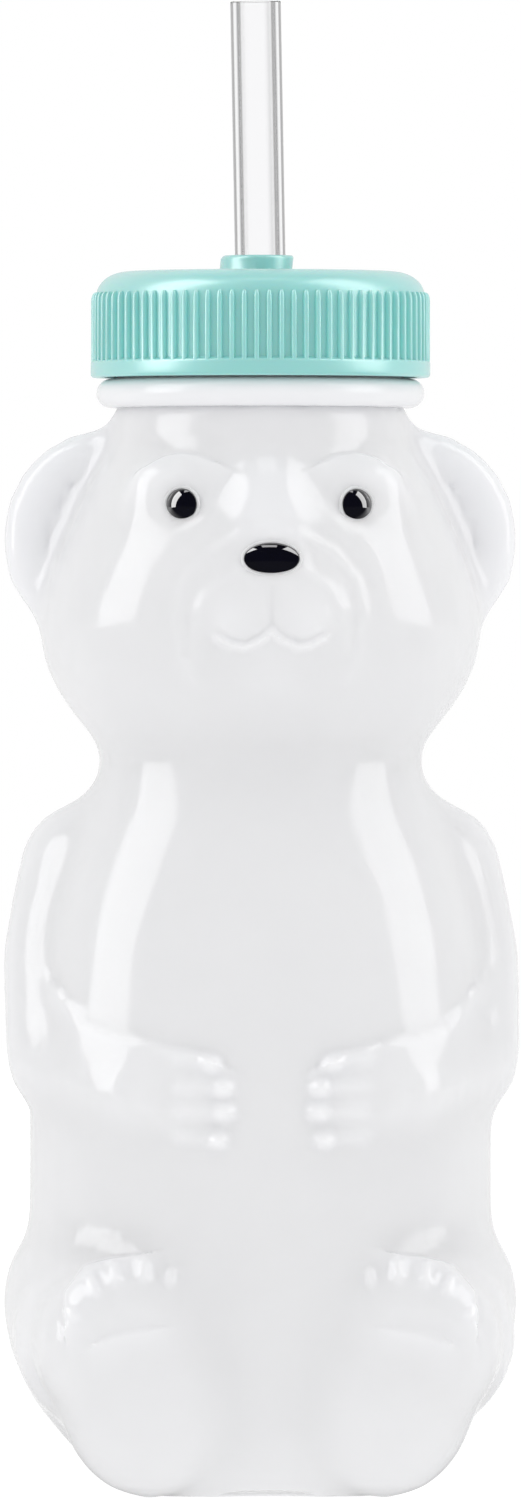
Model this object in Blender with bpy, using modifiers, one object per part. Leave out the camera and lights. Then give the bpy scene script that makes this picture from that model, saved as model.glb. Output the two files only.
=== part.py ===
"""Baby straw cup: a blow-moulded sitting-bear bottle, a ribbed screw lid and a clear straw.

Metres, +Z up, the bear's face towards -Y. The bottle stands on z = 0 and the
axis of its neck is the Z axis. Each function below makes one sub-part.
"""

import math

import bmesh
import bpy
from mathutils import Matrix, Vector
from mathutils.bvhtree import BVHTree

MM = 0.001

# Clearance between pieces that seat on or pass through each other
GAP = 0.3 * MM
# How far a cutter or a joined root runs past the face that it meets
OVERRUN = 1.0 * MM
# Points closer than this are one point
WELD = 0.01 * MM

# Bottle body, from the ground to the underside of the neck bead
BODY_HEIGHT = 132.9 * MM
BODY_HALF_WIDTH = 31.7 * MM
BODY_HALF_DEPTH = 29.0 * MM
BOTTLE_WALL = 1.2 * MM

# Neck finish, 38 mm size
NECK_RADIUS = 18.05 * MM
BEAD_RADIUS = 20.1 * MM
BEAD_HEIGHT = 3.4 * MM
FINISH_RADIUS = 17.55 * MM
FINISH_HEIGHT = 10.2 * MM
FINISH_CHAMFER = 0.6 * MM
MOUTH_RADIUS = 15.7 * MM

# Base, with a shallow push-up inside a flat standing ring that arches a little between the feet
PUSH_UP_HALF_WIDTH = 13.5 * MM
PUSH_UP_HALF_DEPTH = 11.5 * MM
PUSH_UP_RISE = 2.0 * MM
ARCH_HALF_WIDTH = 7.4 * MM
ARCH_HALF_DEPTH = 6.0 * MM
ARCH_RISE = 0.9 * MM

# Ears, round pads with a raised rim
EAR_RADIUS = 13.0 * MM
EAR_RIM_RADIUS = 3.0 * MM
EAR_WEB = 4.6 * MM

# Head forms: half-sizes along X, Y and Z
FACE_SIZE = (22.5 * MM, 15.5 * MM, 16.5 * MM)
BROW_SIZE = (6.2 * MM, 5.0 * MM, 4.6 * MM)
MUZZLE_SIZE = (12.2 * MM, 9.0 * MM, 11.2 * MM)
CHEEK_PAD_SIZE = (5.8 * MM, 4.2 * MM, 4.8 * MM)
CHIN_SIZE = (6.0 * MM, 4.6 * MM, 4.2 * MM)

# Arms: radius at the shoulder, upper arm, elbow, wrist and hand
ARM_RADII = (8.2 * MM, 7.1 * MM, 6.3 * MM, 5.7 * MM, 5.4 * MM)
FINGER_RADIUS = 2.0 * MM
FINGER_PITCH = 3.1 * MM
FINGER_LENGTH = 4.0 * MM
FINGER_RELIEF = 1.0 * MM
KNUCKLE_RELIEF = 0.3 * MM

# Legs: half-sizes of the thigh, the heel and the front of the sole, and the toes
THIGH_SIZE = (13.6 * MM, 16.5 * MM, 12.5 * MM)
HEEL_SIZE = (11.3 * MM, 12.0 * MM, 13.0 * MM)
SOLE_SIZE = (11.6 * MM, 10.2 * MM, 10.6 * MM)
TOE_RADIUS = 2.4 * MM
TOE_ARC_RADIUS = 9.1 * MM
TOE_RELIEF = 1.2 * MM

# Eyes and nose, domed beads set into shallow seats
EYE_RADIUS = 2.1 * MM
EYE_RISE = 1.1 * MM
NOSE_HALF_WIDTH = 3.5 * MM
NOSE_HALF_HEIGHT = 2.3 * MM
NOSE_RISE = 1.2 * MM
BEAD_SEAT_DEPTH = 0.55 * MM

# Lid
LID_BAND_RADIUS = 20.8 * MM
LID_BAND_HEIGHT = 2.1 * MM
LID_TOP_WALL = 1.5 * MM
LID_SIDE_WALL = 1.1 * MM
LID_SHOULDER_HEIGHT = 3.0 * MM
LID_SHOULDER_DEPTH = 3.9 * MM
LID_EDGE = 0.4 * MM
RIB_HEIGHT = 0.55 * MM
RIB_TOP_DROP = 2.6 * MM
RIB_COUNT = 84
RIB_FOOT_share = 0.42
RIB_CREST_share = 0.20

# Straw boss on the lid, and the socket under it
BOSS_RADIUS = 4.45 * MM
BOSS_HEIGHT = 2.0 * MM
BOSS_EDGE = 0.7 * MM
BOSS_OFFSET = 0.55 * MM
SOCKET_WALL = 1.0 * MM
GROMMET_WALL = 2.0 * MM
GROMMET_HEIGHT = 2.8 * MM

GASKET_THICKNESS = 1.0 * MM
GASKET_WIDTH = 3.2 * MM

# Straw
STRAW_RADIUS = 3.1 * MM
STRAW_BORE_RADIUS = 1.6 * MM
STRAW_STANDING = 31.1 * MM
STRAW_FOOT_GAP = 2.5 * MM
STRAW_LEAN = math.radians(-1.06)

# Soft modelling of the bottle
FORM_CELL = 1.5 * MM
DETAIL_CELL = 1.05 * MM
CAVITY_CELL = 1.6 * MM
FORM_SMOOTHING_STEPS = 7
DETAIL_SMOOTHING_STEPS = 2
OUTER_DETAIL_share = 0.082
CAVITY_DETAIL_share = 0.075
RING_POINTS = 40
RING_ROUNDNESS = 2.15
SOLE_FLATNESS = 0.85

TURN_STEPS = 48
LID_STEPS = 84
SMALL_STEPS = 28
SHARP_EDGE = math.radians(35)

# The body without its limbs, ring by ring from the ground up:
# height, half-width, front depth and back depth, as shares of the body's sizes
BODY_RING_shares = (
    (-0.014, 0.400, 0.430, 0.500),
    (0.000, 0.500, 0.530, 0.620),
    (0.010, 0.570, 0.600, 0.700),
    (0.027, 0.665, 0.670, 0.785),
    (0.055, 0.775, 0.735, 0.870),
    (0.088, 0.885, 0.775, 0.935),
    (0.131, 0.968, 0.805, 0.970),
    (0.174, 1.000, 0.815, 0.985),
    (0.205, 0.978, 0.820, 0.965),
    (0.228, 0.932, 0.822, 0.930),
    (0.250, 0.897, 0.830, 0.895),
    (0.300, 0.893, 0.855, 0.875),
    (0.370, 0.893, 0.880, 0.870),
    (0.450, 0.890, 0.885, 0.865),
    (0.515, 0.862, 0.855, 0.840),
    (0.570, 0.800, 0.795, 0.785),
    (0.610, 0.735, 0.725, 0.720),
    (0.645, 0.655, 0.655, 0.650),
    (0.673, 0.606, 0.625, 0.620),
    (0.693, 0.630, 0.655, 0.645),
    (0.715, 0.716, 0.725, 0.710),
    (0.738, 0.784, 0.785, 0.765),
    (0.765, 0.838, 0.835, 0.805),
    (0.805, 0.862, 0.860, 0.825),
    (0.840, 0.832, 0.840, 0.805),
    (0.875, 0.776, 0.790, 0.770),
    (0.920, 0.695, 0.720, 0.710),
    (0.955, 0.610, 0.655, 0.650),
    (0.980, 0.520, 0.560, 0.560),
)

# Centres of the soft forms: across, forward (negative) and up, as shares
EAR_PLACE_share = (0.593, 0.03, 0.878)
FACE_PLACE_share = (0.0, -0.345, 0.835)
BROW_PLACE_share = (0.365, -0.590, 0.920)
MUZZLE_PLACE_share = (0.0, -0.640, 0.820)
CHEEK_PAD_PLACE_share = (0.148, -0.787, 0.812)
CHIN_PLACE_share = (0.0, -0.715, 0.764)
THIGH_PLACE_share = (0.535, -0.270, 0.148)
HEEL_PLACE_share = (0.450, -0.520, 0.096)
SOLE_PLACE_share = (0.548, -0.590, 0.142)
TOE_PLACE_share = (0.540, 0.142)
ARCH_PLACE_share = (0.0, -0.62, 0.0)
ARM_PLACE_shares = (
    (0.680, 0.02, 0.577),
    (0.782, -0.04, 0.497),
    (0.800, -0.23, 0.398),
    (0.520, -0.655, 0.372),
    (0.340, -0.725, 0.364),
)
FINGER_PLACE_share = (0.222, 0.364)
EYE_PLACE_share = (0.338, 0.909)
NOSE_PLACE_share = (0.0, 0.860)
TOE_ANGLES = [math.radians(angle) for angle in (122, 98, 74, 50, 24)]
FINGER_ROWS = (-1.5, -0.5, 0.5, 1.5)

# Colour, roughness, metallic and opacity of each material
FINISHES = {
    "milky_plastic": ((0.86, 0.85, 0.87), 0.22, 0.0, 1.0),
    "mint_plastic": ((0.31, 0.70, 0.64), 0.25, 0.0, 1.0),
    "dark_gloss": ((0.004, 0.004, 0.010), 0.12, 0.0, 1.0),
    "clear_plastic": ((0.93, 0.93, 0.95), 0.08, 0.0, 0.4),
    "soft_seal": ((0.80, 0.80, 0.79), 0.55, 0.0, 1.0),
}

# Heights that follow from the sizes above
BEAD_TOP = BODY_HEIGHT + BEAD_HEIGHT
RIM_TOP = BEAD_TOP + FINISH_HEIGHT
LID_BOTTOM = BEAD_TOP + GAP
LID_UNDERSIDE = RIM_TOP + GASKET_THICKNESS + 2 * GAP
LID_TOP = LID_UNDERSIDE + LID_TOP_WALL
BOSS_TOP = LID_TOP + BOSS_HEIGHT
LID_ROOT_RADIUS = LID_BAND_RADIUS - RIB_HEIGHT
LID_CAVITY_RADIUS = LID_ROOT_RADIUS - LID_SIDE_WALL
GROMMET_BORE_RADIUS = STRAW_RADIUS + GAP
GROMMET_RADIUS = GROMMET_BORE_RADIUS + GROMMET_WALL
SOCKET_RADIUS = GROMMET_RADIUS + GAP


def clear_scene():
    for thing in list(bpy.data.objects):
        bpy.data.objects.remove(thing, do_unlink=True)


def collection(name):
    made = bpy.data.collections.new(name)
    bpy.context.scene.collection.children.link(made)
    return made


def finish(name):
    colour, roughness, metallic, opacity = FINISHES[name]
    made = bpy.data.materials.new(name)
    made.use_nodes = True
    shader = made.node_tree.nodes["Principled BSDF"]
    shader.inputs["Base Color"].default_value = (*colour, 1.0)
    shader.inputs["Roughness"].default_value = roughness
    shader.inputs["Metallic"].default_value = metallic
    shader.inputs["Alpha"].default_value = opacity
    made.diffuse_color = (*colour, opacity)
    return made


def new_object(name, mesh, home, material=None):
    made = bpy.data.objects.new(name, mesh)
    home.objects.link(made)
    if material:
        mesh.materials.append(material)
    return made


def as_cutter(thing):
    thing.hide_render = True
    thing.display_type = "WIRE"
    return thing


def shade(mesh):
    mesh.shade_smooth()
    mesh.set_sharp_from_angle(angle=SHARP_EDGE)


def mesh_from(bm, name):
    bmesh.ops.recalc_face_normals(bm, faces=bm.faces)
    mesh = bpy.data.meshes.new(name)
    bm.to_mesh(mesh)
    bm.free()
    shade(mesh)
    return mesh


def baked(thing, name):
    """The object's mesh with its modifiers applied; the object itself goes."""
    graph = bpy.context.evaluated_depsgraph_get()
    mesh = bpy.data.meshes.new_from_object(thing.evaluated_get(graph), depsgraph=graph)
    mesh.name = name
    bpy.data.objects.remove(thing, do_unlink=True)
    return mesh


def body_point(shares, side=1):
    across, forward, up = shares
    return Vector((side * across * BODY_HALF_WIDTH, forward * BODY_HALF_DEPTH, up * BODY_HEIGHT))


def add_ellipsoid(bm, centre, sizes, flat=1.0, sides=32):
    """A stretched sphere; flat below 1 squares off its front and back."""
    ball = bmesh.ops.create_uvsphere(bm, u_segments=sides, v_segments=sides // 2, radius=1)
    for vert in ball["verts"]:
        y = math.copysign(abs(vert.co.y) ** flat, vert.co.y)
        vert.co = Vector((vert.co.x * sizes[0], y * sizes[1], vert.co.z * sizes[2])) + centre


def add_ball(bm, centre, radius):
    add_ellipsoid(bm, centre, (radius, radius, radius))


def add_limb(bm, points, radii):
    """Balls at the points and tapered tubes between them."""
    for point, radius in zip(points, radii):
        add_ball(bm, point, radius)
    for first, second, wide, narrow in zip(points, points[1:], radii, radii[1:]):
        along = second - first
        turn = along.to_track_quat("Z", "Y").to_matrix().to_4x4()
        bmesh.ops.create_cone(
            bm,
            cap_ends=True,
            segments=32,
            radius1=wide,
            radius2=narrow,
            depth=along.length,
            matrix=Matrix.Translation((first + second) / 2) @ turn,
        )


def add_disc(bm, centre, radius, thickness):
    """A flat disc that faces the front and back."""
    bmesh.ops.create_cone(
        bm,
        cap_ends=True,
        segments=48,
        radius1=radius,
        radius2=radius,
        depth=thickness,
        matrix=Matrix.Translation(centre) @ Matrix.Rotation(math.pi / 2, 4, "X"),
    )


def add_ring(bm, centre, radius, tube_radius):
    """A torus that faces the front and back."""
    bpy.ops.mesh.primitive_torus_add(
        major_radius=radius, minor_radius=tube_radius, major_segments=48, minor_segments=16
    )
    torus = bpy.context.object
    torus.data.transform(Matrix.Translation(centre) @ Matrix.Rotation(math.pi / 2, 4, "X"))
    bm.from_mesh(torus.data)
    bpy.data.objects.remove(torus, do_unlink=True)


def add_body(bm):
    """The loft through the body's rings, rounder or squarer by RING_ROUNDNESS."""
    loops = []
    for up, wide, front, back in BODY_RING_shares:
        loop = []
        for i in range(RING_POINTS):
            angle = math.tau * i / RING_POINTS
            across = math.copysign(abs(math.cos(angle)) ** (2 / RING_ROUNDNESS), math.cos(angle))
            deep = math.copysign(abs(math.sin(angle)) ** (2 / RING_ROUNDNESS), math.sin(angle))
            depth = back if deep > 0 else front
            point = Vector((across * wide * BODY_HALF_WIDTH, deep * depth * BODY_HALF_DEPTH, up * BODY_HEIGHT))
            loop.append(bm.verts.new(point))
        loops.append(loop)
    for low, high in zip(loops, loops[1:]):
        for i in range(RING_POINTS):
            j = (i + 1) % RING_POINTS
            bm.faces.new((low[i], low[j], high[j], high[i]))
    bm.faces.new(reversed(loops[0]))
    bm.faces.new(loops[-1])


def add_neck_root(bm):
    """The plain neck, from inside the head to the middle of the bead."""
    low = BODY_HEIGHT - BEAD_HEIGHT * 3
    high = BODY_HEIGHT + BEAD_HEIGHT / 2
    bmesh.ops.create_cone(
        bm,
        cap_ends=True,
        segments=64,
        radius1=NECK_RADIUS,
        radius2=NECK_RADIUS,
        depth=high - low,
        matrix=Matrix.Translation((0, 0, (low + high) / 2)),
    )


def remeshed(thing, cell, smoothing):
    fuse = thing.modifiers.new("fuse", "REMESH")
    fuse.mode = "VOXEL"
    fuse.voxel_size = cell
    soften = thing.modifiers.new("soften", "SMOOTH")
    soften.factor = 0.5
    soften.iterations = smoothing


def thinned(thing, share):
    thin = thing.modifiers.new("thin", "DECIMATE")
    thin.ratio = share


def bear_form(home):
    """The bear's main masses, fused and softened into one closed skin."""
    bm = bmesh.new()
    add_body(bm)
    add_neck_root(bm)
    add_ellipsoid(bm, body_point(FACE_PLACE_share), FACE_SIZE)
    add_ellipsoid(bm, body_point(MUZZLE_PLACE_share), MUZZLE_SIZE)
    for side in (-1, 1):
        add_ellipsoid(bm, body_point(BROW_PLACE_share, side), BROW_SIZE)
        add_limb(bm, [body_point(place, side) for place in ARM_PLACE_shares], ARM_RADII)
        add_ellipsoid(bm, body_point(THIGH_PLACE_share, side), THIGH_SIZE)
        add_ellipsoid(bm, body_point(HEEL_PLACE_share, side), HEEL_SIZE, SOLE_FLATNESS)
        add_ellipsoid(bm, body_point(SOLE_PLACE_share, side), SOLE_SIZE, SOLE_FLATNESS)
    form = new_object("bear_form", mesh_from(bm, "bear_form"), home)
    remeshed(form, FORM_CELL, FORM_SMOOTHING_STEPS)
    return baked(form, "bear_form")


def skin_tree(mesh):
    return BVHTree.FromPolygons([v.co for v in mesh.vertices], [p.vertices for p in mesh.polygons])


def front_hit(tree, across, up):
    """Where a ray from the front meets the skin, with the skin's normal there."""
    start = Vector((across, -BODY_HALF_DEPTH * 3, up))
    point, normal, _, _ = tree.ray_cast(start, Vector((0, 1, 0)))
    return point, normal


def sunk(tree, across, up, radius, relief):
    """The centre of a ball that stands out of the skin by its relief."""
    point, normal = front_hit(tree, across, up)
    return point - normal * (radius - relief)


def add_fingers(bm, tree, side):
    across, up = FINGER_PLACE_share
    for row in FINGER_ROWS:
        height = up * BODY_HEIGHT + row * FINGER_PITCH
        tip = side * (across * BODY_HALF_WIDTH + abs(row) * FINGER_RADIUS / 3)
        knuckle = tip + side * FINGER_LENGTH
        ends = (
            sunk(tree, tip, height, FINGER_RADIUS, FINGER_RELIEF),
            sunk(tree, knuckle, height, FINGER_RADIUS, KNUCKLE_RELIEF),
        )
        add_limb(bm, ends, (FINGER_RADIUS, FINGER_RADIUS))


def add_toes(bm, tree, side):
    across, up = TOE_PLACE_share
    for angle in TOE_ANGLES:
        x = side * (across * BODY_HALF_WIDTH + TOE_ARC_RADIUS * math.cos(angle))
        height = up * BODY_HEIGHT + TOE_ARC_RADIUS * math.sin(angle)
        add_ball(bm, sunk(tree, x, height, TOE_RADIUS, TOE_RELIEF), TOE_RADIUS)


def bear_skin(form, home):
    """The outer skin: the masses with ears, fingers, toes, cheek pads and chin."""
    tree = skin_tree(form)
    bm = bmesh.new()
    bm.from_mesh(form)
    add_ellipsoid(bm, body_point(CHIN_PLACE_share), CHIN_SIZE)
    for side in (-1, 1):
        ear = body_point(EAR_PLACE_share, side)
        add_disc(bm, ear, EAR_RADIUS - EAR_RIM_RADIUS, EAR_WEB)
        add_ring(bm, ear, EAR_RADIUS - EAR_RIM_RADIUS, EAR_RIM_RADIUS)
        add_ellipsoid(bm, body_point(CHEEK_PAD_PLACE_share, side), CHEEK_PAD_SIZE)
        add_fingers(bm, tree, side)
        add_toes(bm, tree, side)
    skin = new_object("bear_skin", mesh_from(bm, "bear_skin"), home)
    remeshed(skin, DETAIL_CELL, DETAIL_SMOOTHING_STEPS)
    thinned(skin, OUTER_DETAIL_share)
    return baked(skin, "bear_skin")


def turned(name, profile, steps, home, material=None):
    """A solid turned about Z from (radius, height) points down its outer side."""
    mesh = bpy.data.meshes.new(name)
    closed = profile[0][0] > 0
    count = len(profile)
    edges = [(i, (i + 1) % count) for i in range(count if closed else count - 1)]
    mesh.from_pydata([(radius, 0, height) for radius, height in profile], edges, [])
    thing = new_object(name, mesh, home)
    screw = thing.modifiers.new("turn", "SCREW")
    screw.steps = steps
    screw.render_steps = steps
    screw.use_merge_vertices = True
    screw.merge_threshold = WELD
    made = baked(thing, name)
    bm = bmesh.new()
    bm.from_mesh(made)
    return new_object(name, mesh_from(bm, name), home, material)


def rounded(centre, radii, start, end, count):
    """Points on an arc: (radius, height) from start to end degrees."""
    points = []
    for i in range(count):
        angle = math.radians(start + (end - start) * i / (count - 1))
        points.append((centre[0] + radii[0] * math.cos(angle), centre[1] + radii[1] * math.sin(angle)))
    return points


def boolean(thing, other, operation):
    modifier = thing.modifiers.new(f"{operation.lower()}_{other.name}", "BOOLEAN")
    modifier.operation = operation
    modifier.object = other
    modifier.solver = "EXACT"


def neck_finish(cutters):
    """The bead and the plain finish above it, solid until the mouth is bored."""
    half = BEAD_HEIGHT / 2
    root = NECK_RADIUS - OVERRUN
    profile = [(0, RIM_TOP), (FINISH_RADIUS - FINISH_CHAMFER, RIM_TOP), (FINISH_RADIUS, RIM_TOP - FINISH_CHAMFER)]
    profile += [(FINISH_RADIUS, BEAD_TOP)]
    profile += rounded((BEAD_RADIUS - half, BODY_HEIGHT + half), (half, half), 90, -90, 7)
    profile += [(root, BODY_HEIGHT), (root, BODY_HEIGHT - BEAD_HEIGHT), (0, BODY_HEIGHT - BEAD_HEIGHT)]
    return as_cutter(turned("neck_finish", profile, TURN_STEPS, cutters))


def bottle_cavity(form, backings, cutters):
    """The space inside the bottle, one wall in from the bear's masses and from the bead seats."""
    inner = new_object("cavity_form", form, cutters)
    shrink = inner.modifiers.new("wall", "DISPLACE")
    shrink.mid_level = 0
    shrink.strength = -BOTTLE_WALL
    remeshed(inner, CAVITY_CELL, DETAIL_SMOOTHING_STEPS)
    thinned(inner, CAVITY_DETAIL_share)
    cavity = new_object("bottle_cavity", baked(inner, "bottle_cavity"), cutters)
    boolean(cavity, block_below("floor_block", BOTTLE_WALL, cutters), "DIFFERENCE")
    for hollow in push_ups("floor", BOTTLE_WALL, cutters):
        boolean(cavity, hollow, "DIFFERENCE")
    for backing in backings:
        boolean(cavity, backing, "DIFFERENCE")
    return as_cutter(cavity)


def push_ups(name, wall, cutters):
    """The flat domes of the push-up and the front arch, thicker by wall for the floor above them."""
    made = []
    for label, place, sizes in (
        ("push_up", (0, 0, 0), (PUSH_UP_HALF_WIDTH, PUSH_UP_HALF_DEPTH, PUSH_UP_RISE)),
        ("arch", ARCH_PLACE_share, (ARCH_HALF_WIDTH, ARCH_HALF_DEPTH, ARCH_RISE)),
    ):
        bm = bmesh.new()
        add_ellipsoid(bm, body_point(place), [size + wall for size in sizes], sides=22)
        made.append(as_cutter(new_object(f"{name}_{label}", mesh_from(bm, label), cutters)))
    return made


def block_below(name, top, cutters):
    """Everything under a level plane."""
    bm = bmesh.new()
    bmesh.ops.create_cube(bm, size=1)
    depth = BODY_HALF_DEPTH
    for vert in bm.verts:
        vert.co = Vector((vert.co.x * BODY_HALF_WIDTH * 3, vert.co.y * BODY_HALF_DEPTH * 3, vert.co.z * depth))
        vert.co.z += top - depth / 2
    return as_cutter(new_object(name, mesh_from(bm, name), cutters))


def dome(name, half_width, half_height, rise, home, material):
    """A domed bead, flat at z = 0, with its edge turned down square."""
    bm = bmesh.new()
    ball = bmesh.ops.create_uvsphere(bm, u_segments=20, v_segments=10, radius=1)
    for vert in ball["verts"]:
        vert.co = Vector((vert.co.x * half_width, vert.co.y * half_height, max(vert.co.z, 0) * rise))
        if vert.co.z > 0:
            vert.co.z += BEAD_SEAT_DEPTH
    low = [vert for vert in bm.verts if vert.co.z == 0]
    bmesh.ops.remove_doubles(bm, verts=low, dist=WELD)
    return new_object(name, mesh_from(bm, name), home, material)


def seat(name, half_width, half_height, wall, matrix, cutters):
    """The straight-sided seat that a bead sits in or, with a wall, the plastic round and behind it."""
    bm = bmesh.new()
    bmesh.ops.create_cone(bm, cap_ends=True, segments=20, radius1=1, radius2=1, depth=1)
    margin = GAP + wall
    height = BEAD_SEAT_DEPTH + OVERRUN
    for vert in bm.verts:
        place = Vector((vert.co.x * (half_width + margin), vert.co.y * (half_height + margin), 0))
        place.z = height if vert.co.z > 0 else -margin
        vert.co = matrix @ place
    return as_cutter(new_object(name, mesh_from(bm, name), cutters))


def facial_beads(skin, home, cutters, material):
    """The eyes and the nose, each with its seat and the backing that keeps the wall behind it."""
    tree = skin_tree(skin)
    seats = []
    backings = []
    eye_across, eye_up = EYE_PLACE_share
    nose_across, nose_up = NOSE_PLACE_share
    beads = (
        ("left_eye", eye_across, eye_up, EYE_RADIUS, EYE_RADIUS, EYE_RISE),
        ("right_eye", -eye_across, eye_up, EYE_RADIUS, EYE_RADIUS, EYE_RISE),
        ("nose", nose_across, nose_up, NOSE_HALF_WIDTH, NOSE_HALF_HEIGHT, NOSE_RISE),
    )
    for name, across, up, half_width, half_height, rise in beads:
        point, normal = front_hit(tree, across * BODY_HALF_WIDTH, up * BODY_HEIGHT)
        turn = normal.to_track_quat("Z", "Y").to_matrix().to_4x4()
        matrix = Matrix.Translation(point - normal * BEAD_SEAT_DEPTH) @ turn
        bead = dome(name, half_width, half_height, rise, home, material)
        bead.matrix_world = matrix
        seats.append(seat(f"{name}_seat", half_width, half_height, 0, matrix, cutters))
        backings.append(seat(f"{name}_backing", half_width, half_height, BOTTLE_WALL, matrix, cutters))
    return seats, backings


def bear_bottle(home, cutters, milky, dark):
    """The blown bottle: skin and neck finish, less the cavity, mouth and seats."""
    form = bear_form(cutters)
    skin = bear_skin(form, cutters)
    seats, backings = facial_beads(skin, home, cutters, dark)
    cavity = bottle_cavity(form, backings, cutters)
    low = BODY_HEIGHT - BEAD_HEIGHT
    bore = as_cutter(
        turned(
            "mouth_bore",
            [(0, RIM_TOP + OVERRUN), (MOUTH_RADIUS, RIM_TOP + OVERRUN), (MOUTH_RADIUS, low), (0, low)],
            TURN_STEPS,
            cutters,
        )
    )
    # Half a step round, so that its corners miss the edges of the finish
    bore.rotation_euler.z = math.pi / TURN_STEPS
    bottle = new_object("bear_bottle", skin, home, milky)
    boolean(bottle, neck_finish(cutters), "UNION")
    boolean(bottle, cavity, "DIFFERENCE")
    boolean(bottle, bore, "DIFFERENCE")
    boolean(bottle, block_below("ground_block", 0, cutters), "DIFFERENCE")
    for hollow in push_ups("ground", 0, cutters):
        boolean(bottle, hollow, "DIFFERENCE")
    for recess in seats:
        boolean(bottle, recess, "DIFFERENCE")
    return bottle


def rib_ring(cutters):
    """The ribs as one toothed block, a little smaller at its roots than the lid."""
    low = LID_BOTTOM + LID_BAND_HEIGHT
    high = LID_TOP - RIB_TOP_DROP
    root = LID_ROOT_RADIUS - LID_SIDE_WALL / 3
    crest = LID_BAND_RADIUS - LID_EDGE / 4
    pitch = math.tau / RIB_COUNT
    bm = bmesh.new()
    outline = []
    for i in range(RIB_COUNT):
        for reach, share in (
            (root, -RIB_FOOT_share),
            (crest, -RIB_CREST_share),
            (crest, RIB_CREST_share),
            (root, RIB_FOOT_share),
        ):
            angle = pitch * (i + share)
            outline.append(bm.verts.new((reach * math.cos(angle), reach * math.sin(angle), low)))
    face = bm.faces.new(outline)
    top = bmesh.ops.extrude_face_region(bm, geom=[face])["geom"]
    for vert in top:
        if isinstance(vert, bmesh.types.BMVert):
            vert.co.z = high
    return as_cutter(new_object("rib_ring", mesh_from(bm, "rib_ring"), cutters))


def lid(home, cutters, mint):
    """The ribbed screw lid with its straw boss and the socket under it."""
    shoulder = (LID_ROOT_RADIUS - LID_SHOULDER_DEPTH, LID_TOP - LID_SHOULDER_HEIGHT)
    profile = [(0, LID_TOP)]
    profile += rounded(shoulder, (LID_SHOULDER_DEPTH, LID_SHOULDER_HEIGHT), 90, 0, 6)
    profile += [
        (LID_ROOT_RADIUS, LID_BOTTOM + LID_BAND_HEIGHT),
        (LID_BAND_RADIUS, LID_BOTTOM + LID_BAND_HEIGHT - LID_EDGE / 2),
        (LID_BAND_RADIUS, LID_BOTTOM + LID_EDGE),
        (LID_BAND_RADIUS - LID_EDGE, LID_BOTTOM),
        (0, LID_BOTTOM),
    ]
    made = turned("lid", profile, LID_STEPS, home, mint)
    low = LID_BOTTOM - OVERRUN
    hollow = turned(
        "lid_hollow",
        [(0, LID_UNDERSIDE), (LID_CAVITY_RADIUS, LID_UNDERSIDE), (LID_CAVITY_RADIUS, low), (0, low)],
        LID_STEPS,
        cutters,
    )
    root = LID_UNDERSIDE + LID_TOP_WALL / 2
    boss = turned(
        "straw_boss",
        [
            (0, BOSS_TOP),
            (BOSS_RADIUS - BOSS_EDGE, BOSS_TOP),
            (BOSS_RADIUS, BOSS_TOP - BOSS_EDGE),
            (BOSS_RADIUS, root),
            (0, root),
        ],
        SMALL_STEPS,
        cutters,
    )
    socket_low = LID_UNDERSIDE - GAP - GROMMET_HEIGHT
    socket = turned(
        "grommet_socket",
        [
            (SOCKET_RADIUS + SOCKET_WALL, root),
            (SOCKET_RADIUS + SOCKET_WALL, socket_low),
            (SOCKET_RADIUS, socket_low),
            (SOCKET_RADIUS, root),
        ],
        SMALL_STEPS,
        cutters,
    )
    bore = turned(
        "straw_port",
        [
            (0, BOSS_TOP + OVERRUN),
            (GROMMET_BORE_RADIUS, BOSS_TOP + OVERRUN),
            (GROMMET_BORE_RADIUS, LID_UNDERSIDE - OVERRUN),
            (0, LID_UNDERSIDE - OVERRUN),
        ],
        SMALL_STEPS,
        cutters,
    )
    boss.location.x = -BOSS_OFFSET
    for thing, operation in (
        (rib_ring(cutters), "UNION"),
        (hollow, "DIFFERENCE"),
        (boss, "UNION"),
        (socket, "UNION"),
        (bore, "DIFFERENCE"),
    ):
        boolean(made, as_cutter(thing), operation)
    return made


def lid_gasket(home, soft):
    """The sealing ring between the bottle's rim and the lid."""
    low = RIM_TOP + GAP
    high = low + GASKET_THICKNESS
    outer = FINISH_RADIUS
    inner = outer - GASKET_WIDTH
    profile = [(outer, high), (outer, low), (inner, low), (inner, high)]
    return turned("lid_gasket", profile, TURN_STEPS, home, soft)


def straw_grommet(home, soft):
    """The soft ring in the lid's socket that grips the straw."""
    high = LID_UNDERSIDE - GAP
    low = high - GROMMET_HEIGHT
    profile = [
        (GROMMET_RADIUS, high),
        (GROMMET_RADIUS, low),
        (GROMMET_BORE_RADIUS, low),
        (GROMMET_BORE_RADIUS, high),
    ]
    return turned("straw_grommet", profile, SMALL_STEPS, home, soft)


def drinking_straw(home, clear):
    """The clear tube, from just above the bottle's floor to its free end."""
    floor = PUSH_UP_RISE + BOTTLE_WALL
    below = LID_TOP - floor - STRAW_FOOT_GAP
    above = BOSS_HEIGHT + STRAW_STANDING
    profile = [
        (STRAW_RADIUS, above),
        (STRAW_RADIUS, -below),
        (STRAW_BORE_RADIUS, -below),
        (STRAW_BORE_RADIUS, above),
    ]
    straw = turned("drinking_straw", profile, SMALL_STEPS, home, clear)
    straw.location = (0, 0, LID_TOP)
    straw.rotation_euler.y = STRAW_LEAN
    return straw


def build():
    clear_scene()
    home = collection("straw_cup")
    cutters = collection("cutters")
    milky, mint, dark, clear, soft = (finish(name) for name in FINISHES)
    bear_bottle(home, cutters, milky, dark)
    lid(home, cutters, mint)
    lid_gasket(home, soft)
    straw_grommet(home, soft)
    drinking_straw(home, clear)


if __name__ == "__main__":
    build()
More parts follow.
